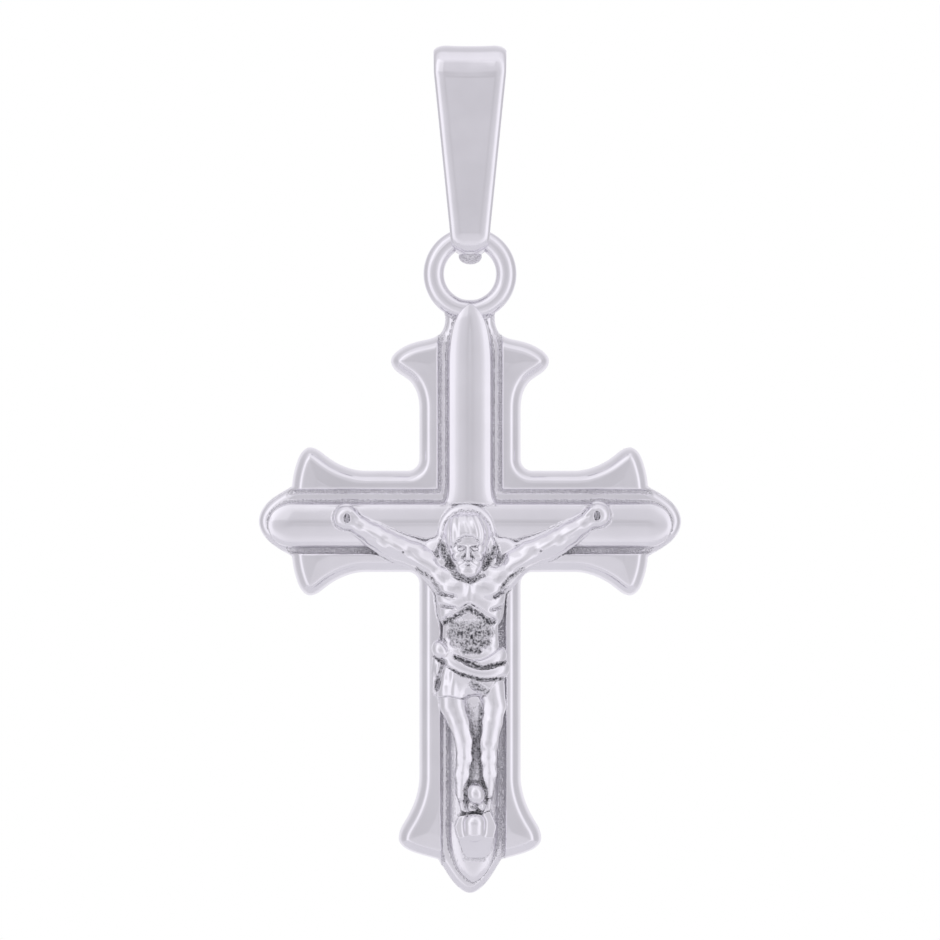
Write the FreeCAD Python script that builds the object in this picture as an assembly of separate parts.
"""Silver crucifix pendant: a cross with cusped arms, raised bars and a cast figure, hanging by its eye ring from a bail.

Millimetres. X is to the viewer's right, -Y is the front and +Z is up. The origin is the centre of the bail's top bend,
where the chain runs along X. Positions named rel_* or given to at() are measured from the centre of the crossing.
"""

import FreeCAD
import Part
import math
import os

V = FreeCAD.Vector
DOWN = (0, -1)
RIGHT = (1, 0)

# Driving dimensions ---------------------------------------------------------------------------------------------
OVERALL_HEIGHT = 34.0
ARM_SPAN = 17.0
CROSSING_Z = -17.86  # height of the crossing's centre below the chain seat

# Bail: a tapered strap folded over the chain, closed under the eye ring
STRAP_THICKNESS = 0.30
BAIL_TOP_RADIUS = 1.20  # outside of the top bend
BAIL_FOOT_RADIUS = 1.10  # outside of the bottom bend
BAIL_FOOT_Z = -6.34  # centre of the bottom bend
BAIL_TOP_HALF = 1.44
BAIL_LOW_HALF = 0.82
BAIL_LOW_Z = -6.12  # where the taper ends and the rounded foot starts
BAIL_FOOT_HALF = 0.44
SOLDER_TIP_RADIUS = 0.42
SOLDER_TIP_DROP = 0.12  # how far the solder tip hangs below the strap

# Eye ring, in the plane of the cross
RING_MEAN_RADIUS = 1.45
RING_WIRE_RADIUS = 0.41
RING_Z = -7.96

# Layers, from the back (+Y) to the front (-Y)
BACK_Y = 0.72
FLOOR_Y = 0.12  # floor of the grooves
BORDER_Y = -0.32
BAR_Y = -0.62

# Cross, in the plane of the front
ARM_HALF = 2.04
NECK_HALF = 1.02
NECK_TOP = 8.60
BAR_HALF = 0.92
GROOVE = 0.36
INNER_CORNER_RADIUS = 0.46
BACK_EDGE_RADIUS = 0.10
BORDER_EDGE_RADIUS = 0.10
BAR_EDGE_RADIUS = 0.35
UPPER_BAR_TIP = 8.74
UPPER_OGIVE = 2.76  # length of the pointed end
LOWER_BAR_TIP = 14.46
LOWER_OGIVE = 1.90
CROSSBAR_TIP = 8.12
CROSSBAR_OGIVE = 1.05
FOOT_REST_X = 0.10
FOOT_REST_Y = -1.15

# Pegs that hold the figure, filed flush with the back
HAND_PEG_RADIUS = 0.20
FOOT_PEG_RADIUS = 0.25
PEG_INTO_FIGURE = 0.25


def at(x, z, y=0.0):
    """A point measured from the centre of the crossing."""
    return V(x, y, CROSSING_Z + z)


def line(start, end):
    return Part.LineSegment(at(*start), at(*end)).toShape()


def arc(start, middle, end):
    return Part.Arc(at(*start), at(*middle), at(*end)).toShape()


def curve(points, start_way, end_way):
    """A smooth curve through the (x, z) points that leaves and arrives along the two directions."""
    spline = Part.BSplineCurve()
    spline.interpolate(
        Points=[at(*point) for point in points],
        InitialTangent=V(start_way[0], 0, start_way[1]),
        FinalTangent=V(end_way[0], 0, end_way[1]),
    )
    return spline.toShape()


def closed(edges):
    return Part.Wire(Part.__sortEdges__(edges))


def with_mirror(edges, normal):
    """The edges together with their mirror images in a plane through the crossing's centre."""
    return edges + [edge.mirror(at(0, 0), normal) for edge in edges]


def slab(wire, back, front):
    """The wire's face, from the depth back to the nearer depth front."""
    face = Part.Face(wire)
    face.translate(V(0, back, 0))
    return face.extrude(V(0, front - back, 0))


def rounded(shape, radius, wanted):
    """The shape with a fillet on each edge for which wanted(edge) is true."""
    return shape.makeFillet(radius, [edge for edge in shape.Edges if wanted(edge)])


def lies_at_depth(edge, depth):
    """True if the whole edge lies in the plane Y = depth."""
    box = edge.BoundBox
    return abs(box.YMin - depth) < 1e-4 and abs(box.YMax - depth) < 1e-4


def largest(shape):
    return max(shape.Solids, key=lambda solid: solid.Volume)


def save(name, shape):
    if not shape.isValid():
        raise ValueError(name + " is not a valid shape")
    shape.exportStep("parts/" + name + ".step")
    print(f"{name:22s} {len(shape.Solids)} solid(s) {shape.Volume:9.4f} mm3")


# Outline of the cross -------------------------------------------------------------------------------------------
def top_arm():
    """Right half of the top arm: the neck under the ring, then the hooked cusp and its return to the arm's side."""
    neck = [line((0, NECK_TOP), (NECK_HALF, NECK_TOP)), line((NECK_HALF, NECK_TOP), (NECK_HALF, 8.10))]
    over = [(NECK_HALF, 8.10), (1.22, 7.54), (1.90, 7.27), (2.78, 6.94), (3.18, 6.42)]
    under = [(3.18, 6.42), (2.92, 5.98), (2.42, 5.62), (2.12, 5.10), (ARM_HALF, 4.50)]
    side = line((ARM_HALF, 4.50), (ARM_HALF, ARM_HALF + INNER_CORNER_RADIUS))
    return [*neck, curve(over, DOWN, DOWN), curve(under, DOWN, DOWN), side]


def inner_corner():
    """The rounded corner between the top arm and the right arm."""
    far = ARM_HALF + INNER_CORNER_RADIUS
    bulge = far - INNER_CORNER_RADIUS * math.sqrt(0.5)
    return arc((ARM_HALF, far), (bulge, bulge), (far, ARM_HALF))


def right_arm():
    """Upper half of the right arm: its edge, the cusp and half of the pointed end."""
    tip = ARM_SPAN / 2
    rise = [(4.20, ARM_HALF), (5.00, 2.20), (5.72, 2.60), (6.42, 2.98)]
    fall = [(6.42, 2.98), (6.70, 2.84), (6.95, 2.38), (7.09, 1.86), (7.15, 1.42)]
    end = [(7.15, 1.42), (7.60, 1.17), (8.02, 0.88), (8.34, 0.52), (tip, 0)]
    return [
        line((ARM_HALF + INNER_CORNER_RADIUS, ARM_HALF), (4.20, ARM_HALF)),
        curve(rise, RIGHT, RIGHT),
        curve(fall, RIGHT, (0.08, -1)),
        curve(end, (1, -0.5), DOWN),
    ]


def bottom_arm():
    """Right half of the bottom arm, from the inner corner down to the tip."""
    tip = BAIL_TOP_RADIUS - OVERALL_HEIGHT - CROSSING_Z
    flare = [(ARM_HALF, -10.20), (2.20, -11.14), (2.56, -11.92), (2.80, -12.36), (2.87, -12.72)]
    foot = [(2.87, -12.72), (2.74, -13.00), (2.34, -13.25), (1.74, -13.44), (1.27, -13.57)]
    end = [(1.27, -13.57), (1.06, -13.94), (0.80, -14.34), (0.44, -14.74), (0, tip)]
    return [
        line((ARM_HALF, -ARM_HALF - INNER_CORNER_RADIUS), (ARM_HALF, -10.20)),
        curve(flare, DOWN, DOWN),
        curve(foot, DOWN, (-1, -0.3)),
        curve(end, (-0.4, -1), (-1, 0)),
    ]


def cross_wire():
    arm = with_mirror([inner_corner(), *right_arm()], V(0, 0, 1))
    return closed(with_mirror([*top_arm(), *arm, *bottom_arm()], V(1, 0, 0)))


# Cross ----------------------------------------------------------------------------------------------------------
def make_ring():
    ring = Part.makeTorus(RING_MEAN_RADIUS, RING_WIRE_RADIUS, V(0, 0, 0), V(0, 1, 0))
    ring.translate(V(0, 0, RING_Z))
    return ring


def make_plate(wire, ring):
    """The back plate: the whole outline, its back edge rounded, with a seat for the ring in its neck."""
    plate = slab(wire, BACK_Y, FLOOR_Y)
    plate = rounded(plate, BACK_EDGE_RADIUS, lambda edge: lies_at_depth(edge, BACK_Y))
    return plate.cut(ring)


def make_borders(wire):
    """The four raised L-shaped borders that are left outside the bars and their grooves, by quadrant."""
    slot = BAR_HALF + GROOVE
    band = slab(wire, FLOOR_Y, BORDER_Y)
    reach = OVERALL_HEIGHT
    deep = BACK_Y - BORDER_Y
    upright = Part.makeBox(2 * slot, 3 * deep, 2 * reach, at(-slot, -reach, -2 * deep))
    level = Part.makeBox(2 * reach, 3 * deep, 2 * slot, at(-reach, -slot, -2 * deep))
    corners = band.cut(upright).cut(level).Solids
    borders = {}
    for corner in corners:
        centre = corner.CenterOfMass
        level_word = "upper" if centre.z > CROSSING_Z else "lower"
        side_word = "left" if centre.x < 0 else "right"

        def on_rim(edge):
            middle = edge.CenterOfMass
            inner = abs(abs(middle.x) - slot) < 1e-3 or abs(abs(middle.z - CROSSING_Z) - slot) < 1e-3
            return lies_at_depth(edge, BORDER_Y) and not inner

        borders[f"{level_word}_{side_word}_border"] = rounded(corner, BORDER_EDGE_RADIUS, on_rim)
    return borders


def bar_wire(tip, ogive):
    """Outline of a bar along +Z from the crossing's centre to a tip whose pointed end is ogive long."""
    shoulder = tip - ogive
    half = BAR_HALF
    end = [(half, shoulder), (0.84 * half, tip - 0.5 * ogive), (0.48 * half, tip - 0.14 * ogive), (0, tip)]
    edges = [line((0, 0), (half, 0)), line((half, 0), (half, shoulder)), curve(end, (0, 1), (-1, 0))]
    return closed(with_mirror(edges, V(1, 0, 0)))


def make_bar(tip, ogive, turn):
    """A domed bar that stands on the groove floor, turned about the crossing by turn degrees."""
    bar = slab(bar_wire(tip, ogive), FLOOR_Y, BAR_Y)

    def on_dome(edge):
        ends_the_root = abs(edge.CenterOfMass.z - CROSSING_Z) < 1e-3
        return lies_at_depth(edge, BAR_Y) and not ends_the_root

    bar = rounded(bar, BAR_EDGE_RADIUS, on_dome)
    bar.rotate(at(0, 0), V(0, 1, 0), turn)
    return bar


def make_bars(ring):
    """The crossbar in one length, with an upper and a lower bar that butt against it."""
    right = make_bar(CROSSBAR_TIP, CROSSBAR_OGIVE, 90)
    left = make_bar(CROSSBAR_TIP, CROSSBAR_OGIVE, -90)
    crossbar = right.fuse(left).removeSplitter()
    upper = make_bar(UPPER_BAR_TIP, UPPER_OGIVE, 0).cut(crossbar).cut(ring)
    lower = make_bar(LOWER_BAR_TIP, LOWER_OGIVE, 180).cut(crossbar)
    return {"crossbar": crossbar, "upper_bar": largest(upper), "lower_bar": largest(lower)}


# Figure ---------------------------------------------------------------------------------------------------------
def ellipsoid(centre, half_x, half_y, half_z):
    ball = Part.makeSphere(1.0)
    matrix = FreeCAD.Matrix()
    matrix.scale(half_x, half_y, half_z)
    ball = ball.transformGeometry(matrix)
    ball.translate(centre)
    return ball


def limb(points, radii):
    """A chain of cones through the points, with a ball at each of them."""
    pieces = []
    for centre, radius in zip(points, radii):
        pieces.append(Part.makeSphere(radius, centre))
    for i in range(len(points) - 1):
        way = points[i + 1] - points[i]
        pieces.append(Part.makeCone(radii[i] * 0.97, radii[i + 1] * 0.97, way.Length, points[i], way))
    return pieces


def make_figure(under):
    """The cast figure with its arms raised, fitted to the bars and borders that it lies on."""
    trunk = [
        ellipsoid(at(0.00, -2.85, -0.85), 1.36, 0.66, 1.15),
        ellipsoid(at(0.00, -4.20, -0.70), 1.16, 0.60, 1.15),
        ellipsoid(at(0.04, -5.90, -0.70), 1.42, 0.72, 1.25),
        ellipsoid(at(0.00, -1.75, -0.85), 0.52, 0.48, 0.60),
    ]
    head = [
        ellipsoid(at(0.00, -0.95, -1.15), 0.66, 0.80, 0.92),
        ellipsoid(at(0.00, -0.80, -0.95), 0.96, 0.78, 1.14),
    ]
    arm_radii = [0.44, 0.46, 0.50, 0.56, 0.64]
    left_arm = [at(-4.92, 0.10, -0.72), at(-3.95, -0.48, -0.78), at(-3.00, -1.04, -0.82), at(-2.20, -1.50, -0.84)]
    right_arm = [at(5.08, 0.20, -0.72), at(3.98, -0.38, -0.78), at(3.05, -0.96, -0.82), at(2.20, -1.46, -0.84)]
    left_leg = [at(-0.66, -6.50, -0.75), at(-0.28, -8.90, -1.00), at(-0.10, -11.00, -0.74)]
    right_leg = [at(0.80, -6.50, -0.75), at(0.84, -8.90, -0.98), at(0.40, -11.00, -0.74)]
    limbs = [
        *limb([*left_arm, at(-1.25, -2.05, -0.85)], arm_radii),
        *limb([*right_arm, at(1.25, -2.00, -0.85)], arm_radii),
        *limb(left_leg, [0.66, 0.50, 0.34]),
        *limb(right_leg, [0.66, 0.48, 0.34]),
    ]
    feet = [ellipsoid(at(0.16, -11.05, -0.84), 0.38, 0.42, 0.60)]
    pieces = trunk + head + limbs + feet
    figure = pieces[0].multiFuse(pieces[1:])
    for solid in under:
        figure = figure.cut(solid)
    return largest(figure)


def make_foot_rest(bar):
    """The shield-shaped rest below the feet, standing on the bar: narrow at the top, widest a third of the way down."""
    half = [
        arc((0, -11.67), (0.28, -11.69), (0.52, -11.75)),
        line((0.52, -11.75), (0.83, -12.20)),
        arc((0.83, -12.20), (0.70, -12.84), (0.38, -13.34)),
        arc((0.38, -13.34), (0.20, -13.42), (0, -13.44)),
    ]
    rest = slab(closed(with_mirror(half, V(1, 0, 0))), FLOOR_Y, FOOT_REST_Y)
    rest = rounded(rest, 0.30, lambda edge: lies_at_depth(edge, FOOT_REST_Y))
    rest.translate(V(FOOT_REST_X, 0, 0))
    return largest(rest.cut(bar))


def make_peg(x, z, front, radius):
    """A round peg from the back of the cross into the figure."""
    return Part.makeCylinder(radius, BACK_Y - front, at(x, z, front), V(0, 1, 0))


# Bail -----------------------------------------------------------------------------------------------------------
def teardrop(top_radius, foot_radius):
    """The bail's side outline: two bends in the YZ plane, joined by their common tangents."""
    span = -BAIL_FOOT_Z
    lean = math.asin((top_radius - foot_radius) / span)
    side, rise = math.cos(lean), -math.sin(lean)
    top_front = V(0, -top_radius * side, top_radius * rise)
    top_back = V(0, top_radius * side, top_radius * rise)
    foot_front = V(0, -foot_radius * side, BAIL_FOOT_Z + foot_radius * rise)
    foot_back = V(0, foot_radius * side, BAIL_FOOT_Z + foot_radius * rise)
    edges = [
        Part.Arc(top_back, V(0, 0, top_radius), top_front).toShape(),
        Part.LineSegment(top_front, foot_front).toShape(),
        Part.Arc(foot_front, V(0, 0, BAIL_FOOT_Z - foot_radius), foot_back).toShape(),
        Part.LineSegment(foot_back, top_back).toShape(),
    ]
    return Part.Wire(edges)


def bail_front():
    """The bail as seen from the front, deeper than the strap: wide at the top, tapering to a rounded foot."""
    deep = 2 * BAIL_TOP_RADIUS
    top = 2 * BAIL_TOP_RADIUS
    foot = BAIL_FOOT_Z - BAIL_FOOT_RADIUS
    corners = [V(0, deep, top), V(BAIL_TOP_HALF, deep, top), V(BAIL_TOP_HALF, deep, 0), V(BAIL_LOW_HALF, deep, BAIL_LOW_Z)]
    below = [V(BAIL_FOOT_HALF, deep, foot + 0.10), V(BAIL_FOOT_HALF, deep, foot - 0.5), V(0, deep, foot - 0.5)]
    bulge = V(0.84 * BAIL_LOW_HALF, deep, BAIL_LOW_Z - 0.68)
    edges = [Part.LineSegment(start, end).toShape() for start, end in zip(corners, corners[1:])]
    edges.append(Part.Arc(corners[-1], bulge, below[0]).toShape())
    edges += [Part.LineSegment(start, end).toShape() for start, end in zip(below, below[1:])]
    edges += [edge.mirror(V(0, 0, 0), V(1, 0, 0)) for edge in edges]
    return Part.Face(closed(edges)).extrude(V(0, -2 * deep, 0))


def make_bail():
    """The folded strap: the teardrop tube as wide as the strap, trimmed to its front outline."""
    outer = Part.Face(teardrop(BAIL_TOP_RADIUS, BAIL_FOOT_RADIUS))
    inner = Part.Face(teardrop(BAIL_TOP_RADIUS - STRAP_THICKNESS, BAIL_FOOT_RADIUS - STRAP_THICKNESS))
    loop = outer.cut(inner)
    loop.translate(V(-BAIL_TOP_HALF, 0, 0))
    return largest(loop.extrude(V(2 * BAIL_TOP_HALF, 0, 0)).common(bail_front()))


def make_solder_tip(strap):
    """The bead of solder that closes the strap's two ends under the eye ring."""
    drop = BAIL_FOOT_Z - BAIL_FOOT_RADIUS - SOLDER_TIP_DROP + SOLDER_TIP_RADIUS
    bead = ellipsoid(V(0, 0, drop), SOLDER_TIP_RADIUS * 0.95, SOLDER_TIP_RADIUS * 1.1, SOLDER_TIP_RADIUS)
    inside = Part.Face(teardrop(BAIL_TOP_RADIUS - STRAP_THICKNESS, BAIL_FOOT_RADIUS - STRAP_THICKNESS))
    inside.translate(V(-BAIL_TOP_HALF, 0, 0))
    hollow = inside.extrude(V(2 * BAIL_TOP_HALF, 0, 0))
    return largest(bead.cut(strap).cut(hollow))


def main():
    os.makedirs("parts", exist_ok=True)
    wire = cross_wire()
    ring = make_ring()
    plate = make_plate(wire, ring)
    borders = make_borders(wire)
    bars = make_bars(ring)
    under = [plate, ring, *borders.values(), *bars.values()]
    figure = make_figure(under)
    foot_rest = make_foot_rest(bars["lower_bar"])
    pegs = {
        "left_hand_peg": make_peg(-4.92, 0.14, BAR_Y - PEG_INTO_FIGURE, HAND_PEG_RADIUS),
        "right_hand_peg": make_peg(5.08, 0.24, BAR_Y - PEG_INTO_FIGURE, HAND_PEG_RADIUS),
        "foot_peg": make_peg(FOOT_REST_X, -12.50, BAR_Y - PEG_INTO_FIGURE, FOOT_PEG_RADIUS),
    }
    for peg in pegs.values():
        plate = plate.cut(peg)
        bars = {name: bar.cut(peg) for name, bar in bars.items()}
        figure = figure.cut(peg)
        foot_rest = foot_rest.cut(peg)
    strap = make_bail()
    save("bail_strap", strap)
    save("bail_solder_tip", make_solder_tip(strap))
    save("eye_ring", ring)
    save("back_plate", plate)
    for name, shape in {**borders, **bars, **pegs}.items():
        save(name, shape)
    save("corpus", figure)
    save("foot_rest", foot_rest)


main()
